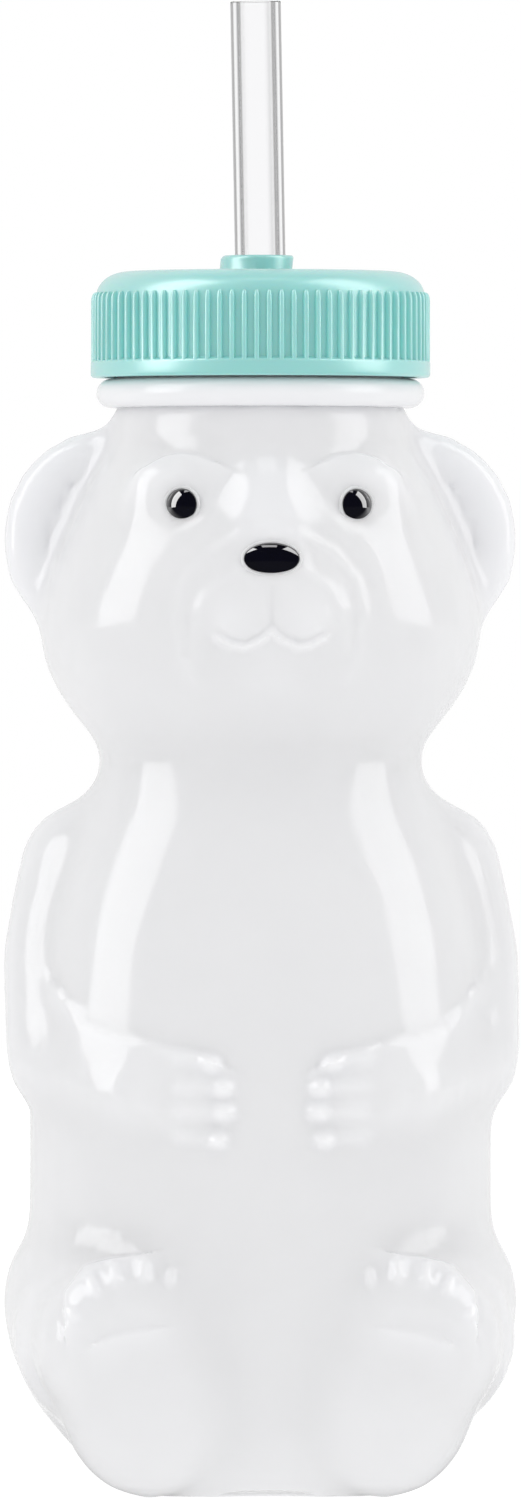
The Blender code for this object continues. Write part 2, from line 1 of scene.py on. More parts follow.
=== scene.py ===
"""Baby straw cup: the milky bear bottle, its dark eyes and nose, the ribbed mint lid and the clear straw.

Run as a script it registers the panel and its operators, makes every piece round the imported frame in
order, and sets the camera and the soft studio round them. Sizes are metres, the bear faces -Y.
"""

import math

import bpy
import numpy as np
from bpy.props import FloatProperty, FloatVectorProperty, IntProperty, PointerProperty
from mathutils import Matrix, Vector
from mathutils.bvhtree import BVHTree


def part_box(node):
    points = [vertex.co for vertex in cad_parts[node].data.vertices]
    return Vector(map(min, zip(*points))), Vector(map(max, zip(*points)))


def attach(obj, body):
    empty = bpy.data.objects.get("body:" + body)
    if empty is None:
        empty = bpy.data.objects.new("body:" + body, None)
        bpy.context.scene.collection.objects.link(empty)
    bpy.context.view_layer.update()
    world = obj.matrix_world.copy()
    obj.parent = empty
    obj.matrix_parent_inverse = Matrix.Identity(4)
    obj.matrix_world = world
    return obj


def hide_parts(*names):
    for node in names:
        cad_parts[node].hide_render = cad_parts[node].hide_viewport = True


bl_info = {
    "name": "Baby straw cup",
    "version": (1, 0, 0),
    "blender": (4, 5, 0),
    "location": "View3D > Sidebar > Straw Cup",
    "description": "Models a bear-shaped straw cup with a ribbed lid round its packed frame",
    "category": "Object",
}

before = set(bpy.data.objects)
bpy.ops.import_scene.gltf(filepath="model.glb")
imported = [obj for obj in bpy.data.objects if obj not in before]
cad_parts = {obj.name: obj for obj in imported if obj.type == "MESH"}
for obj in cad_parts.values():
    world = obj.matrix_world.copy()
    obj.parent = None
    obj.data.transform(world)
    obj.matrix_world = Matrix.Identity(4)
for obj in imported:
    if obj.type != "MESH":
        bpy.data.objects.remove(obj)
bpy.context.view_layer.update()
lid_low, lid_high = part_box("lid")
grommet_low, grommet_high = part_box("straw_grommet")

MM = 0.001

# How far a cut or a join reaches past the face that it starts from
OVERRUN = MM

# Bottle sizes, those of the frame's solids
BODY_HEIGHT = 132.9 * MM
BODY_HALF_WIDTH = 31.7 * MM
BODY_HALF_DEPTH = 29.0 * MM
BOTTLE_WALL = 1.2 * MM
NECK_RADIUS = 18.05 * MM
NECK_BEAD_RADIUS = 20.1 * MM
NECK_BEAD_HEIGHT = 3.4 * MM
FINISH_RADIUS = 17.55 * MM
MOUTH_RADIUS = 15.7 * MM
RIM_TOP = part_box("bear_bottle")[1].z
RIM_EDGE = 0.6 * MM
NECK_BEAD_TOP = lid_low.z - 0.15 * MM

# Screw threads, each a round rib: its centre line lies sunk in its wall at the ends and comes out by the
# depth between them
THREAD_LEAD = 4.233 * MM
THREAD_SUNK = 0.4 * MM
THREAD_DEPTH = 0.5 * MM
NECK_THREAD_START = NECK_BEAD_TOP + 2.4 * MM
NECK_THREAD_TURNS = 1.4
NECK_THREAD_RADIUS = 0.9 * MM
LID_THREAD_START = lid_low.z + 2.6 * MM
LID_THREAD_TURNS = 1.2
LID_THREAD_RADIUS = 0.8 * MM

# Lid sizes; its flat top is where the boss starts
BOSS_HEIGHT = 2.0 * MM
LID_TOP = lid_high.z - BOSS_HEIGHT
LID_UNDER = LID_TOP - 1.5 * MM
LID_BAND_RADIUS = 20.8 * MM
LID_ROOT_RADIUS = 20.12 * MM
LID_BORE_RADIUS = 19.15 * MM
LID_EDGE = 0.4 * MM
SHOULDER_REACH = 3.9 * MM
SHOULDER_DROP = 3.0 * MM
BAND_HEIGHT = 2.1 * MM
RIB_HALF_WIDTH = 0.35 * MM
RIB_HEIGHT = 0.64 * MM
RIB_RUN_OUT = 1.1 * MM
BOSS_RADIUS = 4.45 * MM
BOSS_EDGE = 0.5 * MM
PORT_RADIUS = 3.4 * MM
PORT_BEVEL = 0.35 * MM
GROMMET_GAP = 0.3 * MM
SOCKET_WALL = 1.0 * MM

# Straw sizes: its ends are measured from the lid's flat top, its lean is in degrees
STRAW_RADIUS = 3.1 * MM
STRAW_BORE_RADIUS = 1.9 * MM
STRAW_TOP = 33.1 * MM
STRAW_FOOT = -143.9 * MM
STRAW_EDGE = 0.05 * MM
STRAW_LEAN = -1.06

# Rings of the trunk and the head from the ground up: height, half-width, and half-depth in front and
# behind, each as a share of the body's
BODY_RINGS = (
    (-0.014, 0.400, 0.430, 0.500),
    (0.000, 0.500, 0.530, 0.620),
    (0.010, 0.570, 0.600, 0.700),
    (0.027, 0.665, 0.670, 0.785),
    (0.055, 0.775, 0.735, 0.870),
    (0.088, 0.885, 0.775, 0.935),
    (0.131, 0.968, 0.805, 0.970),
    (0.174, 1.000, 0.815, 0.985),
    (0.205, 0.985, 0.820, 0.970),
    (0.222, 0.955, 0.820, 0.945),
    (0.234, 0.900, 0.822, 0.900),
    (0.250, 0.893, 0.830, 0.890),
    (0.300, 0.893, 0.855, 0.875),
    (0.370, 0.893, 0.880, 0.870),
    (0.450, 0.890, 0.885, 0.865),
    (0.515, 0.862, 0.855, 0.840),
    (0.570, 0.800, 0.795, 0.785),
    (0.610, 0.735, 0.725, 0.720),
    (0.645, 0.655, 0.655, 0.650),
    (0.673, 0.606, 0.625, 0.620),
    (0.693, 0.630, 0.655, 0.645),
    (0.715, 0.716, 0.725, 0.710),
    (0.738, 0.784, 0.785, 0.765),
    (0.765, 0.838, 0.835, 0.805),
    (0.805, 0.862, 0.860, 0.825),
    (0.840, 0.832, 0.840, 0.805),
    (0.875, 0.776, 0.790, 0.770),
    (0.920, 0.695, 0.720, 0.710),
    (0.955, 0.610, 0.655, 0.650),
    (0.980, 0.520, 0.560, 0.560),
)
RING_POINTS = 64
RING_ROUNDNESS = 2.15

# Soft forms: place as shares of the body, half-sizes in millimetres, and an exponent that squares off
# the front and the back where it is below 1
FACE = ((0.0, -0.345, 0.835), (22.5, 15.5, 16.5), 1.0)
MUZZLE = ((0.0, -0.640, 0.820), (12.2, 9.0, 11.2), 1.0)
BROW = ((0.365, -0.530, 0.920), (6.4, 4.8, 4.6), 1.0)
CHEEK_PAD = ((0.108, -0.790, 0.810), (4.9, 4.4, 4.8), 1.0)
CHIN = ((0.0, -0.690, 0.764), (6.6, 4.6, 4.6), 1.0)
THIGH = ((0.535, -0.270, 0.148), (13.6, 16.5, 12.5), 1.0)
THIGH_TOP = ((0.535, -0.270, 0.148), (13.9, 16.9, 13.0), 1.0)
HEEL = ((0.450, -0.520, 0.096), (11.3, 12.0, 13.0), 0.85)
SOLE = ((0.548, -0.590, 0.142), (11.6, 10.2, 10.6), 0.85)

# Ears: a web in a round rim, stretched upwards above the middle
EAR_PLACE = (0.593, 0.03, 0.878)
EAR_RADIUS = 13.0 * MM
EAR_RIM_RADIUS = 3.0 * MM
EAR_WEB = 4.6 * MM
EAR_TALLER = 1.065

# Arms from shoulder to hand: places as shares of the body, radii in millimetres
ARM_PLACES = (
    (0.680, 0.02, 0.577),
    (0.782, -0.04, 0.497),
    (0.800, -0.23, 0.398),
    (0.520, -0.655, 0.372),
    (0.340, -0.725, 0.364),
)
ARM_RADII = (8.2, 7.1, 6.3, 5.7, 5.4)

# Base, in millimetres: half-sizes of the push-up, and the place and half-sizes of the arch between the feet
PUSH_UP = (13.5, 11.5, 2.0)
ARCH_PLACE = (0, -18.0, 0)
ARCH = (7.4, 6.0, 0.9)

# Beads of the face: half-width, half-height and rise in millimetres, the degrees to the side and upwards
# that each faces, how deep each is sunk and how far the skin round it is eased
BEADS = {"left_eye": (2.1, 2.1, 1.0), "right_eye": (2.1, 2.1, 1.0), "nose": (3.5, 2.05, 0.9)}
BEAD_FACING = {"left_eye": (22, 6), "right_eye": (-22, 6), "nose": (0, 10)}
BEAD_SUNK = 0.5
SEAT_MARGIN = 1.8

# Zones of finer skin on the bear's front: from and to across, from and to up, in millimetres
FINE_ZONES = ((-1.0, 15.5, 98.0, 128.5), (3.5, 13.0, 41.5, 55.5), (10.5, 26.5, 18.5, 33.5))

# Strokes on the bear's front, the same on both sides: kind, height, width, fade and a line of points across
# from the middle and up from the ground, all in millimetres. A ridge rises along its line, or dents the skin
# where its height is negative. A plateau is level for its width round the line. A ledge rises on the lower
# side of its line and fades out below it.
STROKES = (
    ("ledge", 0.45, 0.35, 2.6, ((7.0, 126.1), (8.6, 126.8), (10.6, 127.0), (12.6, 126.6), (14.8, 125.4))),
    ("ridge", 0.10, 0.8, 0, ((3.4, 113.2), (7.0, 110.6), (8.7, 108.2), (9.2, 105.3), (9.1, 102.4))),
    ("ridge", 0.12, 0.8, 0, (
        (3.6, 117.0), (7.6, 115.0), (10.4, 111.6), (11.5, 107.5), (11.0, 102.5), (9.4, 99.4),
    )),
    ("ridge", -0.10, 0.4, 0, ((0.0, 106.3), (1.6, 104.9), (3.2, 104.2), (4.8, 104.5), (6.1, 105.2))),
    ("ledge", 0.52, 0.25, 0.8, ((0.0, 105.8), (1.6, 104.5), (3.2, 103.8), (4.8, 104.1), (6.1, 104.8))),
    ("ridge", -0.16, 0.7, 0, ((0.0, 110.4), (0.0, 106.6))),
    ("ledge", 0.50, 0.6, 3.0, (
        (7.2, 53.4), (9.0, 54.4), (13.4, 55.2), (17.8, 56.0), (22.0, 57.6), (24.6, 61.0),
    )),
    ("ridge", 0.95, 0.95, 0, ((7.1, 53.0), (7.6, 53.0))),
    ("ridge", 1.00, 1.00, 0, ((5.5, 49.9), (6.1, 49.9))),
    ("ridge", 1.00, 1.05, 0, ((5.3, 47.1), (6.0, 47.1))),
    ("ridge", 0.95, 0.95, 0, ((6.1, 43.6), (6.6, 43.6))),
    ("ridge", 0.30, 1.00, 0, ((7.6, 53.0), (11.5, 53.4))),
    ("ridge", 0.30, 1.00, 0, ((6.1, 49.9), (11.0, 50.2))),
    ("ridge", 0.30, 1.00, 0, ((6.0, 47.1), (11.0, 47.0))),
    ("ridge", 0.30, 1.00, 0, ((6.6, 43.6), (11.0, 43.9))),
    ("ridge", 0.50, 0.65, 0, ((12.0, 27.4), (12.3, 26.4))),
    ("ridge", 0.60, 0.75, 0, ((15.4, 28.2), (15.5, 27.0))),
    ("ridge", 0.60, 0.75, 0, ((19.1, 27.8), (18.9, 26.6))),
    ("ridge", 0.50, 0.65, 0, ((21.9, 26.2), (21.4, 25.2))),
    ("ridge", 0.45, 0.60, 0, ((24.4, 22.8), (23.8, 22.2))),
    ("ledge", 0.35, 0.4, 2.0, ((15.0, 20.7), (18.0, 20.2), (20.7, 19.3))),
    ("plateau", 1.3, 4.2, 0.9, ((0.0, 121.6), (0.0, 121.2))),
    ("ridge", -0.18, 1.9, 0, ((16.0, 31.6), (22.0, 31.2))),
    ("ledge", 0.60, 0.5, 2.5, ((16.0, 29.6), (19.4, 29.0), (22.4, 28.2), (24.8, 25.0), (24.9, 21.6))),
)


def metres(*values):
    return tuple(value * MM for value in values)


def body_point(shares, side=1):
    across, forward, up = shares
    return Vector((side * across * BODY_HALF_WIDTH, forward * BODY_HALF_DEPTH, up * BODY_HEIGHT))


def settle():
    """Object mode with nothing selected, as every operator here expects."""
    if bpy.context.mode != "OBJECT":
        bpy.ops.object.mode_set(mode="OBJECT")
    bpy.ops.object.select_all(action="DESELECT")


def pick(*things):
    settle()
    for thing in things:
        thing.select_set(True)
    bpy.context.view_layer.objects.active = things[0]


def named(name):
    made = bpy.context.object
    made.name = name
    made.data.name = name
    return made


def placed(thing):
    """Moves the object's place, turn and scale into its mesh."""
    pick(thing)
    bpy.ops.object.transform_apply(location=True, rotation=True, scale=True)
    return thing


def joined(name, things):
    pick(*things)
    bpy.ops.object.join()
    return named(name)


def modified(thing, kind, **settings):
    """Adds a modifier with these settings and applies it."""
    pick(thing)
    modifier = thing.modifiers.new(kind.lower(), kind)
    for key, value in settings.items():
        setattr(modifier, key, value)
    bpy.ops.object.modifier_apply(modifier=modifier.name)
    return thing


def combined(thing, other, operation):
    """Joins to, or cuts from, the piece another closed form, which goes."""
    modified(thing, "BOOLEAN", operation=operation, object=other, solver="MANIFOLD")
    bpy.data.objects.remove(other, do_unlink=True)
    return thing


def edit_all(thing):
    """Edit mode on one piece with all of it selected."""
    pick(thing)
    bpy.ops.object.mode_set(mode="EDIT")
    bpy.ops.mesh.select_all(action="SELECT")


def outward(thing):
    edit_all(thing)
    bpy.ops.mesh.normals_make_consistent(inside=False)
    bpy.ops.object.mode_set(mode="OBJECT")
    return thing


def smooth(thing, degrees=35):
    pick(thing)
    bpy.ops.object.shade_smooth_by_angle(angle=math.radians(degrees))
    return thing


def points_of(thing):
    flat = np.empty(len(thing.data.vertices) * 3)
    thing.data.vertices.foreach_get("co", flat)
    return flat.reshape(-1, 3)


def normals_of(thing):
    flat = np.empty(len(thing.data.vertices) * 3, np.float32)
    thing.data.vertex_normals.foreach_get("vector", flat)
    return flat.reshape(-1, 3).astype(float)


def move_points(thing, points):
    thing.data.vertices.foreach_set("co", points.ravel())
    thing.data.update()


def ellipsoid(centre, sizes, flat=1.0):
    """A stretched ball; flat below 1 squares off its front and back."""
    settle()
    bpy.ops.mesh.primitive_uv_sphere_add(segments=32, ring_count=16, radius=1)
    ball = bpy.context.object
    points = points_of(ball)
    points[:, 1] = np.sign(points[:, 1]) * np.abs(points[:, 1]) ** flat
    move_points(ball, points * np.array(sizes) + np.array(centre))
    return ball


def form(share, side=1):
    place, sizes, flat = share
    return ellipsoid(body_point(place, side), metres(*sizes), flat)


def limb(points, radii):
    """Balls at the points and tapered tubes between them."""
    made = [ellipsoid(point, (radius,) * 3) for point, radius in zip(points, radii)]
    for first, second, wide, narrow in zip(points, points[1:], radii, radii[1:]):
        along = second - first
        bpy.ops.mesh.primitive_cone_add(
            vertices=32,
            radius1=wide,
            radius2=narrow,
            depth=along.length,
            location=(first + second) / 2,
            rotation=along.to_track_quat("Z", "Y").to_euler(),
        )
        made.append(placed(bpy.context.object))
    return made


def body_loft():
    """The bear's trunk and head without limbs: a ring extruded upwards, each ring then shaped."""
    settle()
    bpy.ops.mesh.primitive_circle_add(vertices=RING_POINTS, radius=1, fill_type="NGON")
    body = bpy.context.object
    edit_all(body)
    for _ in BODY_RINGS[1:]:
        bpy.ops.mesh.extrude_region_move(TRANSFORM_OT_translate={"value": (0, 0, 1)})
    bpy.ops.object.mode_set(mode="OBJECT")
    points = points_of(body)
    levels = np.rint(points[:, 2]).astype(int)
    up, wide, front, back = (np.array(column)[levels] for column in zip(*BODY_RINGS))
    power = 2 / RING_ROUNDNESS
    across = np.sign(points[:, 0]) * np.abs(points[:, 0]) ** power
    deep = np.sign(points[:, 1]) * np.abs(points[:, 1]) ** power
    shaped = np.stack(
        (
            across * wide * BODY_HALF_WIDTH,
            deep * np.where(deep > 0, back, front) * BODY_HALF_DEPTH,
            up * BODY_HEIGHT,
        ),
        axis=1,
    )
    move_points(body, shaped)
    return outward(body)


def cylinder(radius, low, high, steps=64):
    settle()
    bpy.ops.mesh.primitive_cylinder_add(
        vertices=steps, radius=radius, depth=high - low, location=(0, 0, (low + high) / 2)
    )
    return placed(bpy.context.object)


def select_loops(thing, loops):
    """Selects the edges of a turned piece on the loops of these (radius, height)."""
    near = MM / 1000
    points = points_of(thing)
    reach = np.hypot(points[:, 0], points[:, 1])
    for vert, distance, z in zip(thing.data.vertices, reach, points[:, 2]):
        vert.select = any(abs(distance - r) < near and abs(z - h) < near for r, h in loops)
    for edge in thing.data.edges:
        edge.select = all(thing.data.vertices[i].select for i in edge.vertices)


def lathe(name, profile, steps, ring=False):
    """A turned piece through (radius, height) points down its outer side.

    A ring has no caps: its last loop joins its first.
    """
    settle()
    radius, height = profile[0]
    bpy.ops.mesh.primitive_circle_add(vertices=steps, radius=radius, location=(0, 0, height))
    bpy.ops.object.transform_apply(location=True, rotation=True, scale=True)
    thing = named(name)
    edit_all(thing)
    extrude = bpy.ops.mesh.extrude_edges_move if ring else bpy.ops.mesh.extrude_region_move
    if not ring:
        bpy.ops.mesh.edge_face_add()
        bpy.ops.mesh.select_all(action="SELECT")
    for next_radius, next_height in profile[1:]:
        extrude(TRANSFORM_OT_translate={"value": (0, 0, next_height - height)})
        factor = next_radius / radius
        bpy.ops.transform.resize(value=(factor, factor, 1), center_override=(0, 0, next_height))
        radius, height = next_radius, next_height
    if ring:
        bpy.ops.object.mode_set(mode="OBJECT")
        select_loops(thing, (profile[0], profile[-1]))
        bpy.ops.object.mode_set(mode="EDIT")
        bpy.ops.mesh.bridge_edge_loops()
    bpy.ops.object.mode_set(mode="OBJECT")
    return outward(thing)


def arc(centre, radii, start, end, count):
    """Points on an arc: (radius, height) from start to end degrees."""
    angles = [math.radians(start + (end - start) * i / (count - 1)) for i in range(count)]
    return [(centre[0] + radii[0] * math.cos(a), centre[1] + radii[1] * math.sin(a)) for a in angles]


def rounded(reach, height, edge, start, end, count=5):
    """An arc of this edge radius whose outermost point is at this reach and height."""
    return arc((reach - edge, height), (edge, edge), start, end, count)


def helix(name, wall, outwards, low, turns, rib_radius):
    """A screw thread's rib on a wall of this radius: a bevelled curve that climbs by THREAD_LEAD a turn.

    It rises from the wall outwards with 1, inwards with -1, and sinks and thins out towards its ends.
    """
    steps_a_turn = 72
    tapers_a_turn = 6
    tip = 0.35
    settle()
    curve = bpy.data.curves.new(name, "CURVE")
    curve.dimensions = "3D"
    curve.bevel_depth = rib_radius
    curve.bevel_resolution = 3
    curve.use_fill_caps = True
    spline = curve.splines.new("POLY")
    count = int(turns * steps_a_turn) + 1
    spline.points.add(count - 1)
    for i, point in enumerate(spline.points):
        share = i / (count - 1)
        angle = share * turns * math.tau
        fade = min(1, share * turns * tapers_a_turn, (1 - share) * turns * tapers_a_turn)
        reach = wall - outwards * THREAD_SUNK + outwards * THREAD_DEPTH * fade
        height = low + THREAD_LEAD * angle / math.tau
        point.co = (reach * math.cos(angle), reach * math.sin(angle), height, 1)
        point.radius = tip + (1 - tip) * fade
    thing = bpy.data.objects.new(name, curve)
    bpy.context.scene.collection.objects.link(thing)
    pick(thing)
    bpy.ops.object.convert(target="MESH")
    thing = named(name)
    edit_all(thing)
    bpy.ops.mesh.remove_doubles(threshold=MM / 100)
    bpy.ops.mesh.normals_make_consistent(inside=False)
    bpy.ops.object.mode_set(mode="OBJECT")
    return thing


def front_hit(tree, across, up):
    """Where a ray from the front meets the skin, with the skin's normal there."""
    point, normal, _, _ = tree.ray_cast(Vector((across, -BODY_HALF_DEPTH * 3, up)), Vector((0, 1, 0)))
    return point, normal


def skin_tree(thing):
    mesh = thing.data
    return BVHTree.FromPolygons([v.co for v in mesh.vertices], [p.vertices for p in mesh.polygons])


def to_line(points, line):
    """Distance from each (across, up) point to a line, and its side: 1 below a line that runs outward."""
    best = np.full(len(points), np.inf)
    side = np.zeros(len(points))
    for start, end in zip(line, line[1:]):
        start = np.array(start)
        along = np.array(end) - start
        length = np.hypot(*along)
        offset = points - start
        share = np.clip(offset @ along / length**2, 0, 1)
        away = offset - share[:, None] * along
        distance = np.hypot(away[:, 0], away[:, 1])
        nearer = distance < best
        best = np.where(nearer, distance, best)
        cross = (along[1] * offset[:, 0] - along[0] * offset[:, 1]) / length
        side = np.where(nearer, np.sign(cross), side)
    return best, side


def sculpted(thing, depth):
    """Moves the skin's front points along their normals by the strokes, fading out where it turns away."""
    facing_gain, facing_cut, ledge_sharpness = 2.5, 0.2, 1.5
    points = points_of(thing)
    normals = normals_of(thing)
    places = np.stack((np.abs(points[:, 0]), points[:, 2]), axis=1) / MM
    facing = np.clip(-normals[:, 1] * facing_gain - facing_cut, 0, 1) * (points[:, 1] < 0)
    total = np.zeros(len(points))
    for kind, height, width, fade, line in STROKES:
        distance, side = to_line(places, line)
        if kind == "ridge":
            raised = np.exp(-((distance / width) ** 2))
        elif kind == "plateau":
            raised = 0.5 - 0.5 * np.tanh((distance - width) / (2 * fade))
        else:
            step = 0.5 + 0.5 * np.tanh(side * distance / (width / ledge_sharpness))
            raised = step * np.exp(-((distance / fade) ** 2))
        total += height * raised
    move_points(thing, points + normals * (total * facing * depth * MM)[:, None])


def refined(thing):
    """Halves the cells of the skin's front in the fine zones and eases them there."""
    least_facing = 0.1
    points = points_of(thing) / MM
    across, up = np.abs(points[:, 0]), points[:, 2]
    inside = np.zeros(len(points), bool)
    for inner, outer, low, high in FINE_ZONES:
        inside |= (across > inner) & (across < outer) & (up > low) & (up < high)
    inside &= normals_of(thing)[:, 1] < -least_facing
    pick(thing)
    bpy.ops.object.mode_set(mode="EDIT")
    bpy.ops.mesh.select_all(action="DESELECT")
    bpy.ops.object.mode_set(mode="OBJECT")
    for face in thing.data.polygons:
        face.select = all(inside[i] for i in face.vertices)
    bpy.ops.object.mode_set(mode="EDIT")
    bpy.ops.mesh.subdivide(number_cuts=1)
    bpy.ops.mesh.vertices_smooth(factor=0.5, repeat=3)
    bpy.ops.object.mode_set(mode="OBJECT")


def flattened(thing, centre, axis, reach):
    """Eases the skin round a point towards the plane through it: wholly near the point, not at its reach."""
    steepness = 1.3
    points = points_of(thing)
    offset = points - np.array(centre)
    distance = np.sqrt((offset**2).sum(axis=1))
    share = np.clip(steepness * (1 - distance / reach), 0, 1)
    share = share * share * (3 - 2 * share)
    height = offset @ np.array(axis)
    move_points(thing, points - (height * share)[:, None] * np.array(axis))


def bead_seats(thing):
    """Where each bead sits: its middle on the skin, the way that it faces and the skin's normal there."""
    tree = skin_tree(thing)
    seats = {}
    for node, facing in BEAD_FACING.items():
        low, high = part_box(node)
        middle = (low + high) / 2
        point, normal = front_hit(tree, middle.x, middle.z)
        turn, rise = map(math.radians, facing)
        axis = Vector((math.sin(turn) * math.cos(rise), -math.cos(turn) * math.cos(rise), math.sin(rise)))
        seats[node] = (point, axis, normal)
    return seats


def facing_matrix(point, axis):
    """Puts a piece made round its own Z at a point, facing along an axis."""
    return Matrix.Translation(point) @ axis.to_track_quat("Z", "Y").to_matrix().to_4x4()


class Graph:
    """A node tree, with short ways to add and link its nodes."""

    def __init__(self, tree):
        self.nodes = tree.nodes
        self.links = tree.links

    def feed(self, socket, value):
        if isinstance(value, bpy.types.NodeSocket):
            self.links.new(value, socket)
        else:
            socket.default_value = value

    def add(self, kind, **inputs):
        """A node whose inputs are named with underscores for spaces."""
        node = self.nodes.new(kind)
        for key, value in inputs.items():
            self.feed(node.inputs[key.replace("_", " ")], value)
        return node

    def maths(self, operation, first, second=0.0):
        node = self.nodes.new("ShaderNodeMath")
        node.operation = operation
        self.feed(node.inputs[0], first)
        self.feed(node.inputs[1], second)
        return node.outputs["Value"]

    def graded(self, value, span, ends):
        """A value that goes from the first to the second end over this span of another."""
        node = self.add("ShaderNodeMapRange", Value=value)
        node.inputs["From Min"].default_value, node.inputs["From Max"].default_value = span
        node.inputs["To Min"].default_value, node.inputs["To Max"].default_value = ends
        return node.outputs["Result"]


class Wiring(Graph):
    """A new material's nodes round its shader, with patterns on Object coordinates."""

    def __init__(self, name):
        self.material = bpy.data.materials.new(name)
        self.material.use_nodes = True
        super().__init__(self.material.node_tree)
        self.shader = self.nodes["Principled BSDF"]
        self.place = self.add("ShaderNodeTexCoord").outputs["Object"]

    def set(self, **inputs):
        for key, value in inputs.items():
            self.feed(self.shader.inputs[key.replace("_", " ")], value)

    def noise(self, scale, detail, place=None):
        place = self.place if place is None else place
        return self.add("ShaderNodeTexNoise", Vector=place, Scale=scale, Detail=detail).outputs["Fac"]

    def mottle(self, colour, scale, detail, darker, lighter):
        """The colour, clouded by noise between a darker and a lighter share of it."""
        node = self.add("ShaderNodeValToRGB", Fac=self.noise(scale, detail))
        for element, position, share in zip(node.color_ramp.elements, (0.3, 0.7), (darker, lighter)):
            element.position = position
            element.color = (*(min(channel * share, 1) for channel in colour), 1)
        self.set(Base_Color=node.outputs["Color"])

    def roughen(self, pattern, low, high):
        self.set(Roughness=self.graded(pattern, (0, 1), (low, high)))

    def bump(self, height, strength, distance):
        node = self.add("ShaderNodeBump", Height=height, Strength=strength, Distance=distance)
        self.set(Normal=node.outputs["Normal"])


def milky_plastic(settings):
    """Cloudy blown plastic: soft light inside it, a fine ripple and the faint line where the mould closes."""
    wire = Wiring("cloudy_plastic")
    wire.mottle(settings.milky, 45, 3, 0.985, 1.012)
    wire.roughen(wire.noise(160, 4), 0.10, 0.14)
    wire.set(IOR=1.5, Specular_IOR_Level=0.35, Subsurface_Weight=1.0, Subsurface_Scale=0.0018)
    wire.set(Subsurface_Radius=(1.0, 1.0, 1.0))
    axes = wire.add("ShaderNodeSeparateXYZ", Vector=wire.place)
    seam = wire.graded(wire.maths("ABSOLUTE", axes.outputs["Y"]), (0.00012, 0.00035), (1.0, 0.0))
    ripple = wire.maths("MULTIPLY", wire.noise(90, 2), 0.5)
    wire.bump(wire.maths("ADD", seam, ripple), 0.25, 0.00012)
    return wire.material


def mint_plastic(settings):
    """Moulded opaque plastic with a faint flow mottle."""
    wire = Wiring("moulded_mint")
    wire.mottle(settings.mint, 70, 3, 0.97, 1.03)
    wire.roughen(wire.noise(220, 3), 0.42, 0.48)
    wire.set(IOR=1.5, Specular_IOR_Level=1.0, Subsurface_Weight=0.2, Subsurface_Scale=0.0006)
    wire.set(Coat_Weight=1.0, Coat_Roughness=0.27, Coat_IOR=1.8)
    wire.bump(wire.noise(500, 2), 0.12, 0.00005)
    return wire.material


def dark_gloss(settings):
    """Near-black glazed beads."""
    wire = Wiring("glazed_black")
    wire.mottle(settings.dark, 300, 2, 0.8, 1.25)
    wire.roughen(wire.noise(400, 2), 0.02, 0.05)
    wire.set(IOR=1.6, Coat_Weight=1.0, Coat_Roughness=0.02, Coat_IOR=2.2)
    return wire.material


def clear_plastic(settings):
    """Clear drawn tube with faint lengthwise draw marks."""
    wire = Wiring("drawn_clear")
    wire.set(Transmission_Weight=1.0, IOR=1.5, Base_Color=(*settings.clear, 1))
    wire.set(Specular_Tint=(0.4, 0.4, 0.4, 1))
    stretched = wire.add("ShaderNodeMapping", Vector=wire.place, Scale=(1, 1, 0.03))
    marks = wire.noise(900, 2, stretched.outputs["Vector"])
    wire.roughen(marks, 0.02, 0.07)
    wire.bump(marks, 0.08, 0.00005)
    return wire.material


def soft_silicone(settings):
    """Soft pale seal material."""
    wire = Wiring("soft_silicone")
    wire.mottle(settings.seal, 120, 3, 0.96, 1.03)
    wire.roughen(wire.noise(300, 3), 0.45, 0.6)
    wire.set(Subsurface_Weight=0.2, Subsurface_Scale=0.002)
    wire.bump(wire.noise(900, 2), 0.1, 0.00004)
    return wire.material


def dressed(thing, material, body, slot, *replaced):
    """Gives a finished piece its material and its body, and hides the solids it stands for. The slot is not
    used.
    """
    thing.data.materials.clear()
    thing.data.materials.append(material)
    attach(thing, body)
    if replaced:
        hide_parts(*replaced)
    return thing


class StrawCupSettings(bpy.types.PropertyGroup):
    """Sizes and colours of the cup that a user would change."""

    form_cell: FloatProperty(
        name="Form cell", description="Voxel size of the bear's masses", default=1.5 * MM, unit="LENGTH"
    )
    skin_cell: FloatProperty(
        name="Skin cell", description="Voxel size of the bear's skin", default=1.45 * MM, unit="LENGTH"
    )
    cavity_cell: FloatProperty(
        name="Cavity cell", description="Voxel size of the bottle's inside", default=2.2 * MM, unit="LENGTH"
    )
    detail: FloatProperty(
        name="Detail",
        description="How strongly brows, mouth, fingers and toes stand out",
        default=1.0,
        min=0,
        max=2,
    )
    rib_count: IntProperty(
        name="Ribs", description="Number of grip ribs round the lid", default=84, min=24, max=120
    )
    milky: FloatVectorProperty(
        name="Bottle",
        description="Colour of the milky plastic",
        default=(0.880, 0.882, 0.902),
        subtype="COLOR",
    )
    mint: FloatVectorProperty(
        name="Lid", description="Colour of the lid", default=(0.305, 0.748, 0.716), subtype="COLOR"
    )
    dark: FloatVectorProperty(
        name="Eyes and nose",
        description="Colour of the dark beads",
        default=(0.0010, 0.0010, 0.0050),
        subtype="COLOR",
    )
    clear: FloatVectorProperty(
        name="Straw", description="Tint of the clear straw", default=(0.985, 0.985, 0.99), subtype="COLOR"
    )
    seal: FloatVectorProperty(
        name="Seals", description="Colour of the soft seals", default=(0.80, 0.80, 0.79), subtype="COLOR"
    )


